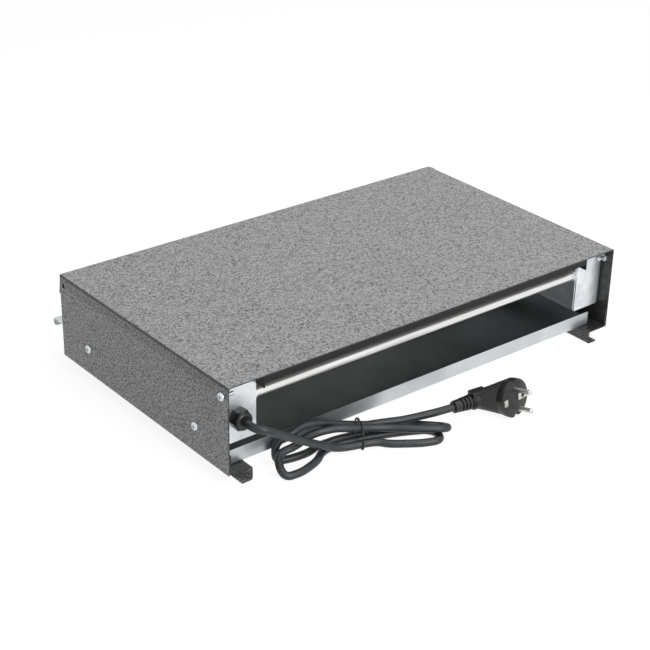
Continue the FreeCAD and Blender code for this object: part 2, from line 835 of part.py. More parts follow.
def make_tray():
    middle = tray_sheet / 2
    y_back = y_box_rear - middle
    y_wall = y_front + tray_front_inset + middle
    z_shelf = z_cover + tray_front_rise
    section = [
        (y_back, z_cover + tray_back_rise),
        (y_back, z_tray + middle),
        (y_wall, z_tray + middle),
        (y_wall, z_shelf - middle),
        (y_grip + middle, z_shelf - middle),
        (y_grip + middle, z_shelf - grip_drop),
    ]
    pan = fold(section, tray_sheet, tray_bend, across_y, RIGHT * tray_width)
    pan = moved(pan, V(tray_shift - tray_width / 2 - pan.BoundBox.XMin, 0, 0))
    corners = edges_where(pan, lambda m, d: m.z < z_shelf - grip_drop + thread_gap and m.y < y_front
                          and abs(m.x - tray_shift) > tray_width / 2 - thread_gap)
    pan = pan.makeFillet(grip_corner, corners)
    between_bends = block((tray_shift - tray_width / 2, tray_shift + tray_width / 2), (y_grip, y_rear),
                          (z_tray + tray_sheet + tray_bend, z_shelf - tray_sheet - tray_bend))
    uprights = pan.common(between_bends)
    flats = pan.cut(between_bends)
    walls = []
    for side in (1, -1):
        x_side = tray_shift + side * tray_width / 2
        wall = block((x_side, x_side - side * tray_sheet), (y_wall + middle, y_back - middle),
                     (z_tray + tray_sheet, z_cover + tray_side_rise))
        walls.append(wall.cut(pan))
    return *flats.Solids, *uprights.Solids, *walls


save("drip_tray", *make_tray())


# Screws and nuts in the cover's sides

side_screws, rear_screws, rear_nuts = [], [], []
for side in (1, -1):
    inwards = RIGHT * -side
    for y, z in low_screws:
        side_screws.append(pan_screw(V(side * half_width, y, z), inwards, screw_length, screw_size))
    y, z = rear_screw
    rear_screws.append(pan_screw(V(side * half_width, y, z), inwards, rear_screw_length, screw_size))
    rear_nuts.append(nut(V(side * x_inside, y, z), inwards, nut_height, nut_flats, earth_bore))
save("side_screws", *side_screws)
save("rear_screws", *rear_screws)
save("rear_nuts", *rear_nuts)


# Cable gland: body, dome nut, seal ring and lock nut round the cord

gland_seat = V(x_gland, y_box_rear, z_gland)
gland_mouth = gland_hex_height + gland_dome_length
cord_bore = cord_size + 2 * thread_gap


def make_gland_body():
    body = hexagon(gland_seat, BACK, gland_hex_height, gland_hex)
    inner = gland_seat - BACK * (box_sheet + gland_inner_length)
    body = body.fuse(rod(inner, BACK, box_sheet + gland_inner_length, gland_thread))
    body = body.fuse(rod(gland_seat, BACK, gland_hex_height + gland_neck_length, gland_neck_size))
    bore = rod(inner - BACK * cut_over, BACK, gland_mouth + box_width, gland_seal_size + 2 * thread_gap)
    return body.cut(bore).removeSplitter()


def make_gland_dome():
    start = gland_seat + BACK * gland_hex_height
    hull = gland_dome_flats / math.sqrt(3)
    profile = [
        V(0, 0, 0),
        V(hull, 0, 0),
        V(hull, 0, gland_dome_hex_length),
        V(gland_dome_flats / 2, 0, gland_dome_hex_length + thread_gap),
    ]
    edges = [Part.LineSegment(p, q).toShape() for p, q in zip(profile, profile[1:])]
    mouth = V(gland_dome_mouth / 2, 0, gland_dome_length)
    crown = (profile[-1] + mouth) * 0.5 + V(1, 0, 1) * dome_swell
    edges.append(Part.Arc(profile[-1], crown, mouth).toShape())
    edges.append(Part.LineSegment(mouth, V(0, 0, gland_dome_length)).toShape())
    edges.append(Part.LineSegment(V(0, 0, gland_dome_length), profile[0]).toShape())
    dome = Part.Face(Part.Wire(edges)).revolve(V(0, 0, 0), UP, 360)
    dome.Placement = FreeCAD.Placement(start, FreeCAD.Rotation(UP, BACK))
    tall = hexagon(start, BACK, gland_dome_hex_length, gland_dome_flats)
    crown_part = rod(start + BACK * gland_dome_hex_length, BACK, gland_dome_length, gland_dome_flats)
    dome = dome.common(tall.fuse(crown_part))
    cave = rod(start - BACK * cut_over, BACK, gland_neck_length + cut_over + dome_land,
               gland_neck_size + 2 * thread_gap)
    mouth_cut = rod(start, BACK, gland_dome_length + cut_over, cord_bore)
    return dome.cut(cave).cut(mouth_cut)


save("gland_body", make_gland_body())
save("gland_dome_nut", make_gland_dome())
seal_start = gland_seat + BACK * (gland_hex_height + gland_neck_length + dome_land - gland_seal_length)
save("gland_seal", ring(seal_start, BACK, gland_seal_length, gland_seal_size, cord_bore))
lock_start = gland_seat - BACK * (box_sheet + gland_lock_height)
save("gland_lock_nut", nut(lock_start, BACK, gland_lock_height, gland_hex, gland_thread + 2 * thread_gap))
cord_start = V(x_gland, y_inner_cord, z_gland)
save("cord_inner_end", rod(cord_start, BACK, gland_seat.y + gland_mouth - y_inner_cord, cord_size))


# Supply cord: the free stretch from the gland, the tied hank and the stretch to the plug

def in_hank(along, across, up):
    """A point of the hank, from its waist: along towards the plug, across towards the object, up."""
    heading = math.radians(waist_heading)
    ahead = V(math.cos(heading), math.sin(heading), 0)
    return V(waist_place[0], waist_place[1], up) + ahead * along + UP.cross(ahead) * across


def hank_heading(turn, pitch):
    """A heading in the hank: turned in plan from its length, and pitched up."""
    plan = math.radians(waist_heading + turn)
    rise = math.radians(pitch)
    return V(math.cos(plan) * math.cos(rise), math.sin(plan) * math.cos(rise), math.sin(rise))


def waist_point(strand, along):
    return in_hank(along, *waist_strands[strand])


def make_hank():
    """Five strands through the waist, joined by four folds, as one unbroken tube."""
    edges, radii = [], []
    last = len(waist_strands) - 1
    for strand in range(last + 1):
        way = 1 if strand % 2 == 0 else -1
        begin = -way * (waist_end_straight if strand == 0 else waist_straight)
        end = way * (waist_end_straight if strand == last else waist_straight)
        edges.append(Part.LineSegment(waist_point(strand, begin), waist_point(strand, end)).toShape())
        if strand == last:
            break
        outwards = hank_heading(0 if way > 0 else 180, 0)
        stops = [(waist_point(strand, end), outwards)]
        stops += [(in_hank(*place), hank_heading(turn, pitch)) for *place, turn, pitch in folds[strand]]
        stops.append((waist_point(strand + 1, way * waist_straight), outwards * -1))
        for (p, p_heading), (q, q_heading) in zip(stops, stops[1:]):
            arcs, bends = biarc(p, p_heading, q, q_heading)
            edges += arcs
            radii += bends
    start = waist_point(0, -waist_end_straight)
    return tube(edges, cord_size, start, hank_heading(0, 0)), edges, radii


def sampled(edges, step):
    """Points along a path, with the distance of each from its start."""
    found, run = [], 0.0
    for edge in edges:
        count = max(2, int(edge.Length / step))
        points = edge.discretize(count + 1)
        found += [(run + edge.Length * i / count, p) for i, p in enumerate(points[:-1])]
        run += edge.Length
    return found


def least_gap(first, second, size, apart=0.0):
    """The least gap between two tubes, or of one to itself between points far apart along it."""
    return min(p.distanceToPoint(q) for a, p in first for b, q in second if not apart or abs(a - b) > apart) - size


def cord_piece(route):
    edges, radii = rounded_route(route)
    start = vector(route[0])
    return tube(edges, cord_size, start, vector(route[1]) - start), edges, radii


plug_turn = math.radians(plug_pin_heading)
rise = math.radians(plug_pin_rise)
level_way = V(math.cos(plug_turn), math.sin(plug_turn), 0)
pin_way = level_way * math.cos(rise) + UP * math.sin(rise)
plug_side = level_way.cross(UP)
plug_up = plug_side.cross(pin_way)
face_stand = plug_face_size / 2 - guide_size * guide_size / 4 / plug_face_size
face_rise = face_stand * math.cos(rise) + plug_rim * math.sin(rise)
face_centre = V(plug_place[0], plug_place[1], face_rise)
elbow = face_centre - pin_way * plug_elbow
swing = math.radians(plug_cable_swing)
dip = math.radians(plug_cable_dip)
cable_way = (plug_side * math.sin(swing) - level_way * math.cos(swing)) * math.cos(dip) - UP * math.sin(dip)
relief_start = elbow + cable_way * plug_neck_length
relief_tip = relief_start + cable_way * plug_relief_length

ahead = hank_heading(0, 0)
mouth_point = gland_seat + BACK * gland_mouth
hank_start = waist_point(0, -waist_end_straight)
hank_end = waist_point(len(waist_strands) - 1, waist_end_straight)
lead_route = [mouth_point, mouth_point + BACK * lead_first_run]
lead_route += [vector(p) for p in lead_way]
lead_route += [hank_start - ahead * lead_last_run, hank_start]
tail_route = [hank_end, hank_end + ahead * tail_first_run]
tail_route += [vector(p) for p in tail_way]
tail_route += [relief_tip + cable_way * tail_last_run, relief_tip]
for name, route in (("lead", lead_route), ("tail", tail_route)):
    print(name, "route", [tuple(round(value, 3) for value in p) for p in route])

hank, hank_edges, hank_radii = make_hank()
lead, lead_edges, lead_radii = cord_piece(lead_route)
tail, tail_edges, tail_radii = cord_piece(tail_route)
save("cord_lead", lead)
save("cord_hank", hank)
save("cord_tail", tail)
sample_step = cord_size / 4
hank_points = sampled(hank_edges, sample_step)
lead_points = sampled(lead_edges, sample_step)
tail_points = sampled(tail_edges, sample_step)
cord_length = report_tube("cord_lead", lead, lead_edges, cord_size, lead_radii)
cord_length += report_tube("cord_hank", hank, hank_edges, cord_size, hank_radii)
cord_length += report_tube("cord_tail", tail, tail_edges, cord_size, tail_radii)
print(f"cord length outside the gland {cord_length:.0f} mm")
print("bend radii", [round(r, 1) for r in lead_radii], [round(r, 1) for r in hank_radii],
      [round(r, 1) for r in tail_radii])
print(f"hank gap to itself {least_gap(hank_points, hank_points, cord_size, 3 * cord_size):.2f} mm")
away_from_ends = [p for p in hank_points if 3 * cord_size < p[0] < hank_points[-1][0] - 3 * cord_size]
print(f"gap of the free stretches to the hank {least_gap(away_from_ends, lead_points + tail_points, cord_size):.2f} mm")


# The tie: two turns of wire round the waist, with their twisted ends

def outline_of(points):
    """The corners of the convex outline round flat points, anticlockwise."""
    points = sorted(points)
    corners = []
    for row in (points, points[::-1]):
        side = []
        for p in row:
            while len(side) > 1:
                (ax, ay), (bx, by) = side[-2:]
                if (bx - ax) * (p[1] - ay) - (by - ay) * (p[0] - ax) > 0:
                    break
                side.pop()
            side.append(p)
        corners += side[:-1]
    return corners


def tie_ring(along):
    corners = outline_of(waist_strands)
    radius = cord_radius + tie_gap + tie_size / 2
    edges, here, first = [], None, None
    for i, (across, up) in enumerate(corners):
        before, after = corners[i - 1], corners[(i + 1) % len(corners)]
        come = V(across - before[0], up - before[1], 0).normalize().cross(UP)
        leave = V(after[0] - across, after[1] - up, 0).normalize().cross(UP)
        between = (come + leave).normalize()
        start, top, finish = (in_hank(along, across + way.x * radius, up + way.y * radius)
                              for way in (come, between, leave))
        if here:
            edges.append(Part.LineSegment(here, start).toShape())
        first = first or start
        edges.append(Part.Arc(start, top, finish).toShape())
        here = finish
    edges.append(Part.LineSegment(here, first).toShape())
    heading = edges[-1].tangentAt(edges[-1].LastParameter)
    return tube(edges, tie_size, first, heading)


knot_start = in_hank(0, waist_strands[0][0] - cord_radius - tie_gap, waist_strands[0][1])
knot = rod(knot_start, in_hank(0, -1, 0) - in_hank(0, 0, 0), tie_knot_length, tie_knot_size)
save("cord_tie", tie_ring(tie_pitch / 2).fuse(tie_ring(-tie_pitch / 2)).fuse(knot))


# Plug

def disc(centre, normal, size):
    return Part.Wire(Part.Circle(centre, normal, size / 2).toShape())


def slab(corner, spans):
    """A box from a corner along three directions that already carry their lengths."""
    face = Part.Face(Part.makePolygon([corner, corner + spans[0], corner + spans[0] + spans[1],
                                       corner + spans[1], corner]))
    return face.extrude(spans[2])


def make_clip(side):
    """An earth clip: a strip down the side of the plug, folded over on to its face."""
    out = plug_side * side
    half = plug_up * (clip_width / 2)
    edge = face_centre + out * (plug_face_size / 2 - clip_notch)
    strip = slab(edge - half - pin_way * clip_length, (half * 2, out * clip_sheet, pin_way * (clip_length + clip_sheet)))
    reach = clip_plate if side < 0 else clip_hook
    hook = slab(edge - half, (half * 2, out * -reach, pin_way * clip_sheet))
    clip = strip.fuse(hook).removeSplitter()
    if side < 0:
        clip = clip.cut(rod(face_centre + out * socket_offset - pin_way * cut_over, pin_way, 2 * cut_over + clip_sheet,
                            socket_size))
    return clip


def make_plug_body():
    back = pin_way * -1
    rim_back = face_centre + back * plug_rim
    middle_turn = math.radians(plug_waist_swing)
    middle_way = plug_side * math.sin(middle_turn) + back * math.cos(middle_turn)
    neck_start = elbow + cable_way * (plug_neck_length / 2)
    hull = Part.makeLoft([
        disc(rim_back, back, plug_back_size),
        disc(elbow, middle_way, plug_waist_size),
        disc(neck_start, cable_way, plug_neck_size),
    ], True, False)
    body = rod(face_centre, back, plug_rim, plug_face_size).fuse(hull)
    body = body.fuse(rod(neck_start, cable_way, plug_neck_length / 2, plug_neck_size))
    body = body.fuse(Part.makeCone(plug_relief_large / 2, plug_relief_small / 2, plug_relief_length,
                                   relief_start, cable_way))
    pitch = (plug_relief_length - plug_relief_plain) / plug_relief_rings
    for i in range(plug_relief_rings):
        place = pitch * (i + 1) - pitch / 2
        size = plug_relief_large + (plug_relief_small - plug_relief_large) * place / plug_relief_length
        body = body.cut(ring(relief_start + cable_way * place, cable_way, pitch / 2, plug_relief_large + cut_over,
                             size - 2 * plug_groove))
    top_way = (UP - cable_way * UP.dot(cable_way)).normalize()
    wide = cable_way.cross(top_way) * thumb_width
    thumb = slab(neck_start + cable_way * (plug_neck_length / 2 - thumb_length) - wide * 0.5,
                 (wide, cable_way * thumb_length, top_way * (plug_neck_size / 2 + thumb_height)))
    body = body.fuse(thumb)
    for side in (1, -1):
        out = plug_side * side
        half = plug_up * (clip_width / 2 + clip_sheet)
        edge = face_centre + out * (plug_face_size / 2 - clip_notch)
        notch = slab(edge - half - pin_way * (clip_length + cut_over),
                     (half * 2, out * (clip_notch + cut_over), pin_way * (clip_length + 2 * cut_over)))
        body = body.cut(notch)
    for side in (1, -1):
        start = face_centre + plug_up * (side * plug_face_size / 2) - pin_way * guide_length
        body = body.cut(rod(start, pin_way, guide_length + cut_over, guide_size))
    body = body.cut(rod(face_centre - plug_side * socket_offset - pin_way * socket_depth, pin_way,
                        socket_depth + cut_over, socket_size))
    return body


def make_pins():
    pins = []
    for side in (1, -1):
        start = face_centre + plug_up * (side * pin_pitch / 2)
        pin = rod(start, pin_way, pin_length, pin_size)
        tip = [e for e in pin.Edges if len(e.Vertexes) == 1 and (e.CenterOfMass - start).dot(pin_way) > pin_length / 2]
        pins.append(pin.makeFillet(pin_size / 3, tip))
    return pins


save("plug_body", make_plug_body())
save("plug_pins", *make_pins())
save("plug_earth_clips", make_clip(1), make_clip(-1))
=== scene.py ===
# %% [markdown]
# # A cheese melter, seen from behind
# The object is a low countertop grill that melts cheese. A hammered grey cover stands on two end
# boxes, three straight heater tubes cross the space between them, and a drip tray slides below. The
# supply cord lies behind it in a tied hank, with its angled plug.
# The metal parts come ready made from the CAD model. This file gives them their finishes, and makes
# the cord, the tie round it and the moulding of the plug.

# %% Load the frame
import math

import bmesh
import bpy
from mathutils import Matrix, Vector


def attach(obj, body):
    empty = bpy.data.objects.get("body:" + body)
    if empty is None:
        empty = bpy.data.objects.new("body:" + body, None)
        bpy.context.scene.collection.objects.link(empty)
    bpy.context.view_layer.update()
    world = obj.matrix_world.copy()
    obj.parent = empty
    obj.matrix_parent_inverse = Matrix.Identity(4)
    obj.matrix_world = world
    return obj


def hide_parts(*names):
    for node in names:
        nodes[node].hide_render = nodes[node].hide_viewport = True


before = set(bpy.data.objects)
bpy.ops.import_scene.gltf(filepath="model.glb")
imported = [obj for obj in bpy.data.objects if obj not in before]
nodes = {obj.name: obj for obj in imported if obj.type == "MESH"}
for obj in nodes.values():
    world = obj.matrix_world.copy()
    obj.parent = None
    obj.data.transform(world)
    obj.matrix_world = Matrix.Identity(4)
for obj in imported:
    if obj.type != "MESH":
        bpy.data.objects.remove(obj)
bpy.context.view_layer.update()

print("CAD nodes:", len(nodes))

# %% [markdown]
# ## Camera
# A camera is fixed by three facts: where it stands, which way it looks, and how long its lens is.
# They were solved from the straight edges of the cover in the photograph. It is a long lens, 89 mm
# on a 36 mm sensor, so the edges that run away from it stay almost parallel. The camera leans by
# one degree, and needs no shift.

# %% Camera
mm = 0.001

camera_data = bpy.data.cameras.new("camera")
camera_data.lens = 89.255
camera_data.sensor_width = 36
camera_data.clip_start = 0.05
camera_data.clip_end = 20
camera = bpy.data.objects.new("camera", camera_data)
camera.location = (925.308 * mm, 1125.564 * mm, 775.127 * mm)
camera.rotation_euler = (math.radians(62.7454), math.radians(-1.0064), math.radians(141.4504))
bpy.context.scene.collection.objects.link(camera)
bpy.context.scene.camera = camera
print("camera stands", round(camera.location.length, 3), "m from the middle of the base")

# %% [markdown]
# ## Supply cord
# The real cord is one length of round rubber cable, 7.6 mm thick. It leaves the gland, dips to the
# table, folds to and fro in a hank of five strands that a tie holds at the waist, and runs on to
# the plug.
# It could be a mesh swept along sampled points, but that looks like bent wire. A NURBS curve only
# needs the corners of the route and draws the smooth line between them, so the cable keeps its
# springy look and stays one piece. Its thickness is each point's radius, with a bevel depth of one.

# %% The cord's route, in mm
lead_route = [
    (222, 153, 61.5), (222, 164.4, 61.5), (219, 169.6, 61.3), (213, 172.4, 59.6),
    (203.5, 172, 53.2), (187, 168.6, 41.8), (164.5, 165.2, 27), (142.5, 162.6, 13.6),
    (126.284, 165.065, 5.35),
]
first_fold = [
    (91.4, 174.4, 5.3), (83.2, 183.2, 3.8), (70.8, 192.0, 3.8), (55.6, 202.1, 3.8),
    (37.6, 208.0, 3.8), (32.8, 189.0, 3.8), (53.9, 177.2, 3.8), (81.2, 168.4, 5.3),
]
second_fold = [
    (117.7, 158.7, 5.3), (128.0, 156.0, 3.8), (140.7, 157.8, 3.8), (152.4, 166.8, 3.8),
    (165.3, 171.0, 3.8), (177.2, 173.8, 3.8), (195.0, 171.6, 3.8), (188.9, 153.2, 17.0),
    (169.1, 156.3, 19.8), (152.8, 151.8, 21.6), (140.1, 152.2, 22.0), (132.4, 155.0, 22.8),
    (123.8, 156.8, 22.4), (116.9, 160.0, 21.5),
]
third_fold = [
    (78.3, 169.6, 13.0), (53.0, 193.3, 13.5), (29.1, 206.5, 12.1), (19.7, 191.2, 3.8),
    (33.0, 178.7, 3.8), (44.6, 166.6, 3.8), (62.1, 159.9, 3.8), (82.9, 159.3, 5.3),
]
fourth_fold = [
    (115.7, 150.5, 5.3), (126.4, 148.1, 3.8), (137.7, 147.1, 3.8), (148.8, 150.8, 3.8),
    (159.6, 150.9, 3.8), (169.7, 149.7, 3.8), (184.2, 145.8, 3.8), (183.5, 144.4, 23.6),
    (167.7, 147.5, 27.6), (154.9, 145.9, 30.6), (143.3, 147.6, 30.4), (133.2, 147.6, 27.0),
    (123.6, 148.4, 23.2), (114.7, 150.4, 20.2),
]
tail_route = [
    (89.14, 157.63, 13.8), (83.3, 159.2, 13.4), (73.5, 163.5, 13.8), (56, 171.0, 13.6),
    (37, 176.2, 14), (17.3, 181.4, 14.5), (3.397, 183.357, 14.76),
]
cord_route = lead_route + first_fold + second_fold + third_fold + fourth_fold + tail_route
print("points on the cord's route:", len(cord_route))

# %% The cord
cord_diameter = 7.6 * mm

cord_curve = bpy.data.curves.new("supply_cord", "CURVE")
cord_curve.dimensions = "3D"
spline = cord_curve.splines.new("NURBS")
spline.points.add(len(cord_route) - 1)
for point, (x, y, z) in zip(spline.points, cord_route):
    point.co = (x * mm, y * mm, z * mm, 1)
    point.radius = cord_diameter / 2
spline.order_u = 3
spline.use_endpoint_u = True
spline.resolution_u = 10
cord_curve.bevel_depth = 1
cord_curve.bevel_resolution = 6
cord_curve.use_fill_caps = True
supply_cord = bpy.data.objects.new("supply_cord", cord_curve)
bpy.context.scene.collection.objects.link(supply_cord)
print("cord length in mm:", round(spline.calc_length() / mm, 1))

# %% The cord rides on the base
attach(supply_cord, "base")
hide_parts("cord_lead", "cord_hank", "cord_tail")
print("the cord stands for three CAD nodes")

# %% [markdown]
# ## Tie
# The hank is held by a short wire tie: a soft iron wire in a thin black plastic coat, 1.5 mm thick
# in all, bent once round the five strands and twisted shut on top. It is two NURBS curves, because
# a wire bends in the same smooth way as the cord does: a closed loop that lies on the strands, and
# the twisted pair that stands on it.

# %% Tie: its place on the hank
waist = Vector((106, 170.5, 0))
along_waist = Vector((math.cos(math.radians(165)), math.sin(math.radians(165)), 0))
across_waist = Vector((0, 0, 1)).cross(along_waist)
tie_diameter = 1.5 * mm


def on_waist(along, across, up):
    """A point at the tied waist, from its distances in mm along the strands, across them and up."""
    return (waist + along_waist * along + across_waist * across + Vector((0, 0, up))) * mm


def wire(name, points, closed):
    """One NURBS curve of the tie wire through its points at the waist."""
    data = bpy.data.curves.new(name, "CURVE")
    data.dimensions = "3D"
    strand = data.splines.new("NURBS")
    strand.points.add(len(points) - 1)
    for point, place in zip(strand.points, points):
        point.co = (*on_waist(*place), 1)
        point.radius = tie_diameter / 2
    strand.order_u = 3
    strand.use_endpoint_u = not closed
    strand.use_cyclic_u = closed
    strand.resolution_u = 8
    data.bevel_depth = 1
    data.bevel_resolution = 4
    data.use_fill_caps = not closed
    piece = bpy.data.objects.new(name, data)
    bpy.context.scene.collection.objects.link(piece)
    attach(piece, "base")
    print(name, "is", round(strand.calc_length() / mm, 1), "mm long")
    return piece


# %% Tie: loop and twist
loop_points = [
    (1.2, -4.6, 3.2), (1.6, -5.0, 7.6), (2.6, -0.9, 14.2), (3.6, 2.6, 19.2), (4.2, 6.4, 22.6),
    (4.8, 12.4, 22.4), (4.8, 19.4, 22.6), (4.2, 22.0, 17.0), (3.2, 21.8, 8.0), (2.0, 20.8, 1.0),
    (1.4, 8.4, 1.0), (1.2, -3.8, 1.0),
]
twist_points = [
    (4.4, 12.0, 22.6), (2.8, 11.0, 24.2), (1.6, 12.6, 25.2), (3.0, 13.8, 25.4), (4.0, 12.2, 24.6),
    (2.4, 9.6, 24.0), (-0.6, 7.0, 23.2), (-3.0, 4.6, 20.4), (-4.2, 2.8, 17.2),
]
tie_loop = wire("cord_tie_wire", loop_points, True)
tie_twist = wire("cord_tie_twist", twist_points, False)
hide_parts("cord_tie")

# %% [markdown]
# ## Plug
# An angled earthed plug is moulded in soft black plastic straight round its pins and the end of the
# cord: a round disc with a groove at the top and at the bottom that guide it into the socket, a
# hull that tapers from the disc to the neck, a thumb block to pull it by, and a ribbed strain
# relief. The CAD plug has a leaner hull. A boolean of solids would leave hard seams here, so the
# moulding is one skin drawn over a row of rings, from the cord to the face.

# %% Plug: its axes, and lengths in mm
face_centre = Vector((-50.1, 211.8, 19.346))
heading, rise = math.radians(98), math.radians(10)
pin_way = Vector((math.cos(heading), math.sin(heading), math.tan(rise))).normalized()
cable_way = Vector((-0.9945, 0.1045, 0.005)).normalized()
face_radius = 19
rim_depth = 9
groove_radius = 3
relief_length = 22
neck_length = 5
relief_tip = Vector(cord_route[-1])
relief_start = relief_tip + cable_way * relief_length
hull_start = relief_start + cable_way * neck_length
rim_back = face_centre - pin_way * rim_depth
cable_angle = math.degrees(cable_way.angle(pin_way))
print("the cable leaves the plug at", round(cable_angle), "degrees to the pins")

# %% Plug: a ring
skin = bmesh.new()
steps_round = 120


def ring(centre, heading, radius, groove=0.0):
    """Adds a ring across the heading, grooved at the top and the bottom, and returns its edges."""
    top = (Vector((0, 0, 1)) - heading * heading.z).normalized()
    side = heading.cross(top)
    turned = Matrix((side, top, heading)).transposed().to_4x4()
    made = bmesh.ops.create_circle(skin, segments=steps_round, radius=radius * mm,
                                   matrix=Matrix.Translation(centre * mm) @ turned)
    for vert in made["verts"]:
        arm = vert.co - centre * mm
        off = abs(arm.dot(side))
        depth = math.sqrt(max((groove_radius * mm) ** 2 - off ** 2, 0)) * groove
        vert.co -= arm.normalized() * depth
    return list({edge for vert in made["verts"] for edge in vert.link_edges})


print("corners on each ring:", steps_round)

# %% [markdown]
# ### Rings of the plug
# The strain relief starts with a plain cuff, 7 mm long, and then has four ribs with a slot before
# each, which grow a little towards the plug. Two rings make the neck, where the skin turns from the
# cable's direction to that of the pins, and the last ones make the disc with its softened edge.

# %% Plug: rings
cuff_length = 7.0
cuff_radius = 6.4
rib_pitch = 3.75
rib_growth = 0.3
slot_depth = 1.1

relief_profile = [(0.0, 5.4), (0.5, 6.0), (cuff_length, cuff_radius)]
for rib in range(4):
    slot_start = cuff_length + rib_pitch * rib
    size = cuff_radius + rib_growth * rib
    relief_profile += [(slot_start + 0.1, size - slot_depth), (slot_start + 1.7, size - slot_depth)]
    relief_profile += [(slot_start + 1.8, size + 0.2), (slot_start + 3.65, size + 0.3)]
rings = [ring(relief_tip + cable_way * along, cable_way, radius)
         for along, radius in relief_profile]
rings.append(ring(relief_start + cable_way * 0.1, cable_way, 8.6))
rings.append(ring(hull_start, cable_way, 8.8))
rings.append(ring(rim_back, pin_way, 18.2, 1.0))
for back, radius in ((8.9, 18.3), (5.0, 18.95), (0.9, face_radius), (0.3, 18.75), (0.0, 18.2)):
    rings.append(ring(face_centre - pin_way * back, pin_way, radius, 1.0))
print("rings on the plug:", len(rings))

# %% Plug: skin and ends
for near, far in zip(rings, rings[1:]):
    bmesh.ops.bridge_loops(skin, edges=near + far)
bmesh.ops.edgeloop_fill(skin, edges=rings[0])
bmesh.ops.edgeloop_fill(skin, edges=rings[-1])
print("faces on the skin:", len(skin.faces))

# %% Plug: thumb block
block_size = (17, 10, 10.2, 1)
thumb_top = (Vector((0, 0, 1)) - cable_way * cable_way.z).normalized()
thumb_side = cable_way.cross(thumb_top)
thumb_middle = relief_start + cable_way * 6.5 + thumb_top * 5.2
turned = Matrix((cable_way, thumb_side, thumb_top)).transposed().to_4x4()
in_millimetres = Matrix.Translation(thumb_middle) @ turned @ Matrix.Diagonal(block_size)
block = bmesh.ops.create_cube(skin, size=1.0, matrix=Matrix.Scale(mm, 4) @ in_millimetres)
block_edges = list({edge for vert in block["verts"] for edge in vert.link_edges})
bmesh.ops.bevel(skin, geom=block_edges, offset=0.9 * mm, segments=3, affect="EDGES", profile=0.5,
                material=-1)
print("faces with the thumb block:", len(skin.faces))

# %% Plug: one piece
sharp_from = math.radians(32)

bmesh.ops.recalc_face_normals(skin, faces=skin.faces)
for face in skin.faces:
    face.smooth = True
for edge in skin.edges:
    edge.smooth = len(edge.link_faces) == 2 and edge.calc_face_angle() < sharp_from
plug_data = bpy.data.meshes.new("plug_moulding")
skin.to_mesh(plug_data)
skin.free()
plug_moulding = bpy.data.objects.new("plug_moulding", plug_data)
bpy.context.scene.collection.objects.link(plug_moulding)
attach(plug_moulding, "base")
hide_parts("plug_body")
print("faces on the plug:", len(plug_data.polygons))

# %% [markdown]
# ## Tools for the finishes
# A colour is noted as it looks on a screen, in sRGB hex. Cycles reckons in linear light, so one
# function turns the one into the other. A second function adds a node, sets its values and links
# it, and every finish below is built with these two. All patterns read Object coordinates, which
# are metres here, so a grain of 2 mm has a scale of 1 / 2 mm = 500.

# %% Colour and node helpers


def colour(code):
    """Turns an sRGB hex code into linear red, green, blue and alpha."""
    parts = [int(code[i:i + 2], 16) / 255 for i in (1, 3, 5)]
    return [p / 12.92 if p <= 0.04045 else ((p + 0.055) / 1.055) ** 2.4 for p in parts] + [1.0]


def add(material, kind, values=None, links=None, **settings):
    """Adds one node, with its settings, its sockets' values and the links into it."""
    node = material.node_tree.nodes.new(kind)
    for name, setting in settings.items():
        setattr(node, name, setting)
    for socket, value in (values or {}).items():
        node.inputs[socket].default_value = value
    for socket, source in (links or {}).items():
        material.node_tree.links.new(source, node.inputs[socket])
    return node


def per(millimetres):
    """The scale that gives a pattern features of this size."""
    return 1 / (millimetres * mm)


print("mid grey in linear light:", round(colour("#808080")[0], 3))

# %% Helpers that start a material and paint nodes


def start(name, **values):
    """Starts a material: its surface shader with these values, and each point's place in metres."""
    material = bpy.data.materials.new(name)
    material.use_nodes = True
    shader = material.node_tree.nodes["Principled BSDF"]
    for socket, value in values.items():
        shader.inputs[socket.replace("_", " ")].default_value = value
    place = add(material, "ShaderNodeTexCoord").outputs["Object"]
    return material, shader, place


def paint(material, *names):
    """Gives CAD nodes their material."""
    for name in names:
        mesh = nodes[name].data
        mesh.materials.clear()
        mesh.materials.append(material)
    print(material.name, "on", len(names), "nodes")


# %% [markdown]
# ## Hammered paint
# The cover and the foot rails have a hammer finish: a grey enamel with aluminium flakes, in which
# silicone makes the wet film crawl into small dimples. On the level top the film stays thin, and
# the eye sees a silvery ground broken by short dark worms some 2 mm apart. On the upright sides it
# sags before it dries, so the dimples grow to dark dots and the whole reads darker. On top of that
# the sides are painted a darker grey all over, which is painted shade, as less light falls on them
# than on the top. Two noises make the worms: the middle value of the first one draws winding lines,
# and the second one breaks them into short pieces. The same dark places lower the bump.

# %% Hammered paint: worms on the top
worm_size = 1.9
dot_size = 1.7

hammered, shader, place = start("hammered_enamel_sprayed", Metallic=0.3, Roughness=0.45,
                                Coat_Weight=0.2, Coat_Roughness=0.25)
winding = add(hammered, "ShaderNodeTexNoise", {"Scale": per(worm_size), "Detail": 1.5,
                                               "Roughness": 0.5, "Distortion": 0.6},
              {"Vector": place})
middle = add(hammered, "ShaderNodeMath", {1: 0.5}, {0: winding.outputs["Fac"]},
             operation="SUBTRACT")
away = add(hammered, "ShaderNodeMath", None, {0: middle.outputs[0]}, operation="ABSOLUTE")
worms = add(hammered, "ShaderNodeMapRange",
            {"From Min": 0.015, "From Max": 0.08, "To Min": 1.0, "To Max": 0.0},
            {"Value": away.outputs[0]}, interpolation_type="SMOOTHSTEP")
breaks = add(hammered, "ShaderNodeTexNoise", {"Scale": per(2.5), "Detail": 1.0}, {"Vector": place})
kept = add(hammered, "ShaderNodeMapRange", {"From Min": 0.42, "From Max": 0.54},
           {"Value": breaks.outputs["Fac"]}, interpolation_type="SMOOTHSTEP")
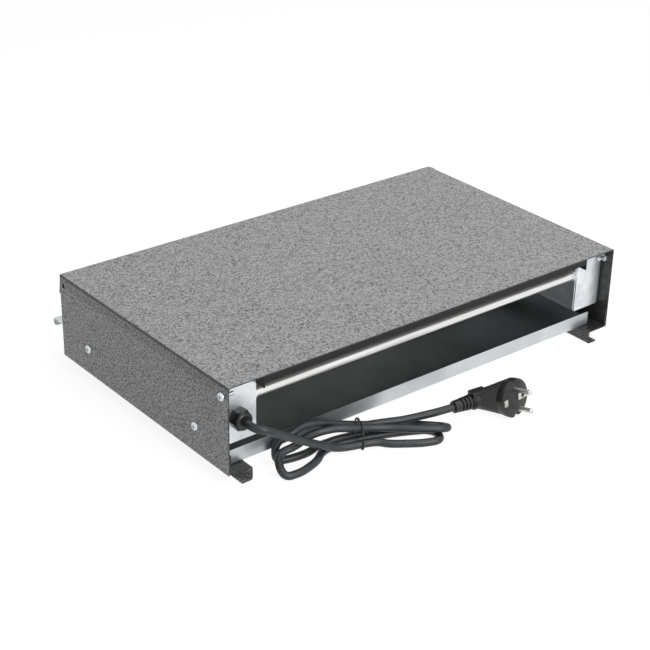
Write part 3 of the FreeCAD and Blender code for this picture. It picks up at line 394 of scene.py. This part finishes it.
specks = add(hammered, "ShaderNodeMath", None, {0: worms.outputs[0], 1: kept.outputs[0]},
             operation="MULTIPLY")
print("worms a metre on top:", round(per(worm_size)))

# %% Hammered paint: dots on the sides
sagged = add(hammered, "ShaderNodeTexNoise",
             {"Scale": per(dot_size), "Detail": 1.0, "Distortion": 0.3}, {"Vector": place})
dots = add(hammered, "ShaderNodeMapRange", {"From Min": 0.49, "From Max": 0.57},
           {"Value": sagged.outputs["Fac"]}, interpolation_type="SMOOTHSTEP")
print("dots a metre on the sides:", round(per(dot_size)))

# %% [markdown]
# ### Where the paint changes
# One material covers the top, the sides, the feet and the hidden faces, so it has to know where it
# is. A mask is a number that is one in some place and zero elsewhere. The first row of masks
# compares a coordinate with a limit, and the second row multiplies two of them, which leaves what
# they share. The inside of the cover, its cut rear edge and the far foot are painted nearly black.
# A darker band under the bend and a dark line along the bend are painted too. All of this is
# painted shade, for the shade that falls on these places.

# %% Hammered paint: masks
axes = add(hammered, "ShaderNodeSeparateXYZ", None, {"Vector": place})
outwards = add(hammered, "ShaderNodeMath", None, {0: axes.outputs["X"]}, operation="ABSOLUTE")
limits = {
    "on_side": (outwards.outputs[0], "GREATER_THAN", 239.0),
    "between_sides": (outwards.outputs[0], "LESS_THAN", 239.0),
    "under_top": (axes.outputs["Z"], "LESS_THAN", 99.7),
    "over_feet": (axes.outputs["Z"], "GREATER_THAN", 13.5),
    "on_feet": (axes.outputs["Z"], "LESS_THAN", 13.5),
    "near_bend": (axes.outputs["Z"], "GREATER_THAN", 88.5),
    "at_bend": (axes.outputs["Z"], "GREATER_THAN", 98.2),
    "cut_edge": (axes.outputs["Y"], "GREATER_THAN", 152.45),
    "far_half": (axes.outputs["X"], "LESS_THAN", 0.0),
}
masks = {}
for name, (source, comparison, limit) in limits.items():
    masks[name] = add(hammered, "ShaderNodeMath", {1: limit * mm}, {0: source},
                      operation=comparison).outputs[0]
print("masks from one limit:", len(masks))

# %% Hammered paint: shared places
masks["worms"] = specks.outputs[0]
masks["dots"] = dots.outputs[0]
shared = {
    "level": ("between_sides", "over_feet"),
    "level_worms": ("worms", "level"),
    "side_wall": ("on_side", "over_feet"),
    "inside": ("level", "under_top"),
    "under_bend": ("on_side", "near_bend"),
    "bend_line": ("on_side", "at_bend"),
    "far_foot": ("on_feet", "far_half"),
}
for name, (first, second) in shared.items():
    masks[name] = add(hammered, "ShaderNodeMath", None, {0: masks[first], 1: masks[second]},
                      operation="MULTIPLY").outputs[0]
upright = add(hammered, "ShaderNodeMath", {0: 1.0}, {1: masks["level"]}, operation="SUBTRACT")
masks["upright_dots"] = add(hammered, "ShaderNodeMath", None,
                            {0: masks["dots"], 1: upright.outputs[0]},
                            operation="MULTIPLY").outputs[0]
print("masks in all:", len(masks))

# %% Hammered paint: colour
grains = add(hammered, "ShaderNodeTexNoise", {"Scale": per(1.1), "Detail": 2.0}, {"Vector": place})
flakes = add(hammered, "ShaderNodeValToRGB", None, {"Fac": grains.outputs["Fac"]})
flakes.color_ramp.elements[0].position = 0.36
flakes.color_ramp.elements[0].color = colour("#7E7F80")
flakes.color_ramp.elements[1].position = 0.66
flakes.color_ramp.elements[1].color = colour("#BDBEBF")

# Each layer has its mask, its colour and the share of it that shows. The layers for under the bend,
# the bend line, the inside, the cut edge and the far foot are painted shade.
layers = (
    ("level_worms", "#151617", 1.0),
    # side_wall: painted shade, a darker grey over the upright sides, which get less light than the
    # top.
    ("side_wall", "#4A4B4C", 0.25),
    ("upright_dots", "#0E0F10", 0.9),
    ("under_bend", "#1C1D1E", 0.3),
    ("bend_line", "#0E0F10", 0.7),
    ("inside", "#0C0D0E", 0.88),
    ("cut_edge", "#0C0D0E", 0.8),
    ("far_foot", "#0C0D0E", 0.8),
)
painted = flakes.outputs["Color"]
for mask, code, share in layers:
    part = add(hammered, "ShaderNodeMath", {1: share}, {0: masks[mask]}, operation="MULTIPLY")
    painted = add(hammered, "ShaderNodeMix", {7: colour(code)}, {0: part.outputs[0], 6: painted},
                  data_type="RGBA").outputs[2]
hammered.node_tree.links.new(painted, shader.inputs["Base Color"])
print("layers of paint:", len(layers))

# %% Hammered paint: relief
dips = add(hammered, "ShaderNodeMix", None,
           {0: upright.outputs[0], 2: masks["worms"], 3: masks["dots"]})
film = add(hammered, "ShaderNodeMath", {1: 0.5}, {0: grains.outputs["Fac"], 2: dips.outputs[0]},
           operation="MULTIPLY_ADD")
relief = add(hammered, "ShaderNodeBump", {"Strength": 0.6, "Distance": 0.25 * mm},
             {"Height": film.outputs[0]}, invert=True)
hammered.node_tree.links.new(relief.outputs["Normal"], shader.inputs["Normal"])
paint(hammered, "cover_shell", "foot_rail_left", "foot_rail_right")

# %% [markdown]
# ## Sheet metals
# The end boxes are galvanised steel: bright, a little blue, with faint crystals some 12 mm wide and
# soft smudges. The tray is stainless steel, brushed along its length, so its roughness and bump run
# in long thin streaks. Real brush lines are too fine for the picture, so they are drawn 0.5 mm
# wide.

# %% Galvanised sheet
galvanised, shader, place = start("galvanised_steel_sheet", Metallic=1.0)
crystals = add(galvanised, "ShaderNodeTexVoronoi", {"Scale": per(12)}, {"Vector": place})
smudges = add(galvanised, "ShaderNodeTexNoise",
              {"Scale": per(26), "Detail": 3.0, "Distortion": 0.8}, {"Vector": place})
mottle = add(galvanised, "ShaderNodeMix", {0: 0.25},
             {2: smudges.outputs["Fac"], 3: crystals.outputs["Color"]})
zinc_colour = add(galvanised, "ShaderNodeValToRGB", None, {"Fac": mottle.outputs[0]})
zinc_colour.color_ramp.elements[0].position = 0.3
zinc_colour.color_ramp.elements[0].color = colour("#D3D9DE")
zinc_colour.color_ramp.elements[1].position = 0.62
zinc_colour.color_ramp.elements[1].color = colour("#F4F6F8")
galvanised.node_tree.links.new(zinc_colour.outputs["Color"], shader.inputs["Base Color"])
dull = add(galvanised, "ShaderNodeMapRange", {"To Min": 0.46, "To Max": 0.36},
           {"Value": smudges.outputs["Fac"]})
galvanised.node_tree.links.new(dull.outputs[0], shader.inputs["Roughness"])
paint(galvanised, "end_box_cord_side", "end_box_far_side", "wall_plate_cord_side",
      "wall_plate_far_side")

# %% Stainless sheet: colour
stainless, shader, place = start("stainless_steel_brushed", Metallic=1.0)
clouds = add(stainless, "ShaderNodeTexNoise", {"Scale": per(45), "Detail": 2.0}, {"Vector": place})
steel_colour = add(stainless, "ShaderNodeValToRGB", None, {"Fac": clouds.outputs["Fac"]})
steel_colour.color_ramp.elements[0].position = 0.3
steel_colour.color_ramp.elements[0].color = colour("#BEC3C5")
steel_colour.color_ramp.elements[1].position = 0.7
steel_colour.color_ramp.elements[1].color = colour("#D2D6D8")
stainless.node_tree.links.new(steel_colour.outputs["Color"], shader.inputs["Base Color"])
paint(stainless, "drip_tray")

# %% Stainless sheet: brush lines
stretched = add(stainless, "ShaderNodeMapping", {"Scale": (0.02, 1, 1)}, {"Vector": place})
brushing = add(stainless, "ShaderNodeTexNoise", {"Scale": per(0.5), "Detail": 3.0},
               {"Vector": stretched.outputs["Vector"]})
streaks = add(stainless, "ShaderNodeMapRange", {"To Min": 0.24, "To Max": 0.44},
              {"Value": brushing.outputs["Fac"]})
stainless.node_tree.links.new(streaks.outputs[0], shader.inputs["Roughness"])
scratches = add(stainless, "ShaderNodeBump", {"Strength": 0.12, "Distance": 0.05 * mm},
                {"Height": brushing.outputs["Fac"]})
stainless.node_tree.links.new(scratches.outputs["Normal"], shader.inputs["Normal"])
print("brush lines a metre:", round(per(0.5)))

# %% [markdown]
# ## Hood and heater tubes
# The hood over the tubes is thin sheet with a matt black stove enamel and a faint orange peel. Its
# colour is set all but black, partly the enamel and partly painted shade for the shade of the
# cover.
# The tubes are drawn stainless steel, polished by the drawing along their length. The draw lines
# are finer than the picture, so they are drawn 0.7 mm wide.

# %% Black stove enamel
stove_black, shader, place = start("stove_enamel_baked", Roughness=0.55, Specular_IOR_Level=0.3)
dust = add(stove_black, "ShaderNodeTexNoise", {"Scale": per(1.5), "Detail": 4.0}, {"Vector": place})
# Near-black ramp: the enamel's black, and painted shade for the shade that the cover casts on the
# hood.
enamel_black_and_shade = add(stove_black, "ShaderNodeValToRGB", None, {"Fac": dust.outputs["Fac"]})
enamel_black_and_shade.color_ramp.elements[0].color = colour("#0D0E0F")
enamel_black_and_shade.color_ramp.elements[1].color = colour("#1C1D1E")
stove_black.node_tree.links.new(enamel_black_and_shade.outputs["Color"], shader.inputs["Base Color"])
orange_peel = add(stove_black, "ShaderNodeBump", {"Strength": 0.2, "Distance": 0.05 * mm},
                  {"Height": dust.outputs["Fac"]})
stove_black.node_tree.links.new(orange_peel.outputs["Normal"], shader.inputs["Normal"])
paint(stove_black, "reflector_hood")

# %% Heater sheath
sheath, shader, place = start("stainless_tube_drawn", Metallic=0.75)
drawn = add(sheath, "ShaderNodeMapping", {"Scale": (0.01, 1, 1)}, {"Vector": place})
draw_lines = add(sheath, "ShaderNodeTexNoise", {"Scale": per(0.7), "Detail": 2.0},
                 {"Vector": drawn.outputs["Vector"]})
tube_colour = add(sheath, "ShaderNodeValToRGB", None, {"Fac": draw_lines.outputs["Fac"]})
tube_colour.color_ramp.elements[0].position = 0.35
tube_colour.color_ramp.elements[0].color = colour("#DEDEDB")
tube_colour.color_ramp.elements[1].position = 0.65
tube_colour.color_ramp.elements[1].color = colour("#F4F4F2")
sheath.node_tree.links.new(tube_colour.outputs["Color"], shader.inputs["Base Color"])
worn = add(sheath, "ShaderNodeMapRange", {"To Min": 0.24, "To Max": 0.34},
           {"Value": draw_lines.outputs["Fac"]})
sheath.node_tree.links.new(worn.outputs[0], shader.inputs["Roughness"])
paint(sheath, "heater_front", "heater_middle", "heater_rear", "heater_collars",
      "heater_retaining_rings")

# %% [markdown]
# ## Small parts
# The terminals sit in steatite, a fired ceramic without a glaze: creamy white and matt. The strips
# between them are brass, warm yellow with a satin gloss. The screws and nuts are zinc-plated steel,
# brighter and a little blue. The pins of the plug are nickel-plated brass, bright and a little
# warm, and rubbed by the socket. The wires inside have sleeves of silicone, off-white with a soft
# sheen. All of these need the same two things: two near shades with a fine grain between them, and
# on metal a gloss that varies with the same grain. So one function makes the whole finish from its
# numbers.

# %% A grained finish


def grained(name, grain, detail, dark, light, dull=None, **values):
    """A finish with a grain in mm between two shades, and in its roughness if dull has a range."""
    material, shader, place = start(name, **values)
    grit = add(material, "ShaderNodeTexNoise", {"Scale": per(grain), "Detail": detail},
               {"Vector": place})
    shades = add(material, "ShaderNodeValToRGB", None, {"Fac": grit.outputs["Fac"]})
    shades.color_ramp.elements[0].color = colour(dark)
    shades.color_ramp.elements[1].color = colour(light)
    material.node_tree.links.new(shades.outputs["Color"], shader.inputs["Base Color"])
    if dull:
        gloss = add(material, "ShaderNodeMapRange", {"To Min": dull[0], "To Max": dull[1]},
                    {"Value": grit.outputs["Fac"]})
        material.node_tree.links.new(gloss.outputs[0], shader.inputs["Roughness"])
    return material


# %% Ceramic, brass, zinc, nickel and silicone
porcelain = grained("steatite_fired", 2, 4.0, "#D9D2C2", "#F1EDE2", Roughness=0.45)
brass = grained("brass_turned", 1, 3.0, "#B08D4A", "#D9BC76", dull=(0.24, 0.42), Metallic=1.0)
zinc = grained("zinc_plated_steel", 1.6, 3.0, "#B9BEC4", "#E9EBEC", dull=(0.2, 0.38), Metallic=1.0)
nickel = grained("nickel_plated_brass", 1.2, 3.0, "#B5B3AD", "#E2E1DC", dull=(0.18, 0.36),
                 Metallic=1.0)
silicone = grained("silicone_insulation_extruded", 4, 2.0, "#B9B5AB", "#DCD8CE", Roughness=0.5)
paint(porcelain, "terminal_block", "terminal_bushings")
paint(brass, "bus_strip_cord_side", "bus_strip_far_side", "earth_stud", "earth_nut")
paint(zinc, "side_screws", "rear_screws", "rear_nuts", "terminal_studs", "terminal_nuts",
      "terminal_block_screws", "earth_washer")
paint(nickel, "plug_pins", "plug_earth_clips")
paint(silicone, "supply_wires", "switch_wires", "return_wire")

# %% [markdown]
# ## Rubbers and plastics
# The cord's sheath is extruded rubber: dark blue-grey, with a soft sheen and a faint bloom. The
# plug, its strain relief and the tie's coat are moulded from the same stuff, a shade blacker, in a
# tool with an eroded grain. The gland is black nylon, a little glossier, and the switch is moulded
# in a polished tool: a glossy black bezel round a clear red rocker.

# %% Cord rubber
cord_rubber, shader, place = start("rubber_extruded", Roughness=0.42, Specular_IOR_Level=0.5)
bloom = add(cord_rubber, "ShaderNodeTexNoise", {"Scale": per(9), "Detail": 3.0}, {"Vector": place})
charcoal = add(cord_rubber, "ShaderNodeValToRGB", None, {"Fac": bloom.outputs["Fac"]})
charcoal.color_ramp.elements[0].position = 0.3
charcoal.color_ramp.elements[0].color = colour("#1D2023")
charcoal.color_ramp.elements[1].position = 0.7
charcoal.color_ramp.elements[1].color = colour("#2D3236")
cord_rubber.node_tree.links.new(charcoal.outputs["Color"], shader.inputs["Base Color"])
talc = add(cord_rubber, "ShaderNodeTexNoise", {"Scale": per(0.6), "Detail": 2.0},
           {"Vector": place})
rough_skin = add(cord_rubber, "ShaderNodeBump", {"Strength": 0.15, "Distance": 0.05 * mm},
                 {"Height": talc.outputs["Fac"]})
cord_rubber.node_tree.links.new(rough_skin.outputs["Normal"], shader.inputs["Normal"])
cord_curve.materials.append(cord_rubber)
paint(cord_rubber, "cord_inner_end", "cord_lead", "cord_hank", "cord_tail", "gland_seal")

# %% Moulded rubber
moulded_rubber, shader, place = start("rubber_moulded", Roughness=0.4)
eroded = add(moulded_rubber, "ShaderNodeTexNoise", {"Scale": per(0.8), "Detail": 4.0},
             {"Vector": place})
plug_black = add(moulded_rubber, "ShaderNodeValToRGB", None, {"Fac": eroded.outputs["Fac"]})
plug_black.color_ramp.elements[0].color = colour("#0B0C0E")
plug_black.color_ramp.elements[1].color = colour("#181A1D")
moulded_rubber.node_tree.links.new(plug_black.outputs["Color"], shader.inputs["Base Color"])
tool_grain = add(moulded_rubber, "ShaderNodeBump", {"Strength": 0.2, "Distance": 0.06 * mm},
                 {"Height": eroded.outputs["Fac"]})
moulded_rubber.node_tree.links.new(tool_grain.outputs["Normal"], shader.inputs["Normal"])
paint(moulded_rubber, "plug_body", "cord_tie")
for piece in (tie_loop, tie_twist, plug_moulding):
    piece.data.materials.append(moulded_rubber)

# %% Nylon and switch plastics
nylon = grained("nylon_moulded", 3, 3.0, "#0A0B0C", "#161819", Roughness=0.33)
switch_black = grained("polyamide_moulded_gloss", 5, 2.0, "#090A0B", "#131416", Roughness=0.2)
red_plastic = grained("polycarbonate_moulded", 6, 2.0, "#A3130E", "#C81E16", Roughness=0.22,
                      Transmission_Weight=0.25)
paint(nylon, "gland_body", "gland_dome_nut", "gland_lock_nut")
paint(switch_black, "switch_body")
paint(red_plastic, "switch_rocker")
unpainted = [name for name in nodes if not nodes[name].data.materials[:]]
print("nodes without a finish:", unpainted)

# %% [markdown]
# ## Floor and light
# The photograph was cut out on white. The floor is a pale matt sheet that takes the shadow, and to
# the camera, to mirrors and through glass it also glows a little, so that it reads as white without
# more light on the object. The sky does the same. The light is plain: a dim sky all round, a wide
# soft lamp above, a stronger one behind the object's cord side at about 35 degrees, and a small low
# one under it. The low lamps make the bright line along the heater tube and light the sheet under
# the cover, while the one above gives the top its even grey.

# %% Floor
floor_mesh = bmesh.new()
bmesh.ops.create_grid(floor_mesh, x_segments=1, y_segments=1, size=6)
floor_data = bpy.data.meshes.new("floor")
floor_mesh.to_mesh(floor_data)
floor_mesh.free()
floor = bpy.data.objects.new("floor", floor_data)
bpy.context.scene.collection.objects.link(floor)
print("floor is", round(floor.dimensions.x, 1), "m wide")

# %% Rays that look at the background
paper = bpy.data.materials.new("studio_paper_matt")
world = bpy.data.worlds.new("studio")
bpy.context.scene.world = world
looks = {}
for surface in (paper, world):
    surface.use_nodes = True
    surface.node_tree.nodes.clear()
    rays = add(surface, "ShaderNodeLightPath")
    seen = add(surface, "ShaderNodeMath", None,
               {0: rays.outputs["Is Camera Ray"], 1: rays.outputs["Is Glossy Ray"]},
               operation="MAXIMUM")
    looks[surface.name] = add(surface, "ShaderNodeMath", None,
                              {0: seen.outputs[0], 1: rays.outputs["Is Transmission Ray"]},
                              operation="MAXIMUM").outputs[0]
print("background surfaces:", list(looks))

# %% Floor's paper
glowing_share = 0.75

share = add(paper, "ShaderNodeMath", {1: glowing_share}, {0: looks[paper.name]},
            operation="MULTIPLY")
matt = add(paper, "ShaderNodeBsdfDiffuse", {"Color": colour("#F2F2F2")})
glow = add(paper, "ShaderNodeEmission", {"Color": colour("#FFFFFF"), "Strength": 1.19})
both = add(paper, "ShaderNodeMixShader", None,
           {0: share.outputs[0], 1: matt.outputs[0], 2: glow.outputs[0]})
add(paper, "ShaderNodeOutputMaterial", None, {"Surface": both.outputs[0]})
floor_data.materials.append(paper)
print("share of the paper that glows:", glowing_share)

# %% Sky
sky_light = 0.2
sky_look = 1.0

level = add(world, "ShaderNodeMapRange", {"To Min": sky_light, "To Max": sky_look},
            {"Value": looks[world.name]})
sky = add(world, "ShaderNodeBackground", {"Color": colour("#FFFFFF")},
          {"Strength": level.outputs[0]})
add(world, "ShaderNodeOutputWorld", None, {"Surface": sky.outputs[0]})
print("sky lights the object at", sky_light, "and shows as", sky_look)

# %% Lamps
aim = Vector((0, 0, 0.05))


def soft_lamp(name, place, size, watts):
    """A square soft lamp at a place in metres, turned to the object's middle."""
    data = bpy.data.lights.new(name, "AREA")
    data.size = size
    data.energy = watts
    lamp = bpy.data.objects.new(name, data)
    lamp.location = place
    lamp.rotation_euler = (aim - Vector(place)).to_track_quat("-Z", "Y").to_euler()
    bpy.context.scene.collection.objects.link(lamp)
    print(name, "gives", watts, "W")


soft_lamp("top_lamp", (-0.3, 0.2, 1.9), 1.6, 14)
soft_lamp("rear_lamp", (0.1, 1.9, 1.3), 1.0, 20)
soft_lamp("low_lamp", (0.1, 2.0, 0.5), 0.7, 5)

# %% [markdown]
# ## Finish
# The colours are shown as they are written, with the Standard view.

# %% The Standard view
bpy.context.scene.view_settings.view_transform = "Standard"
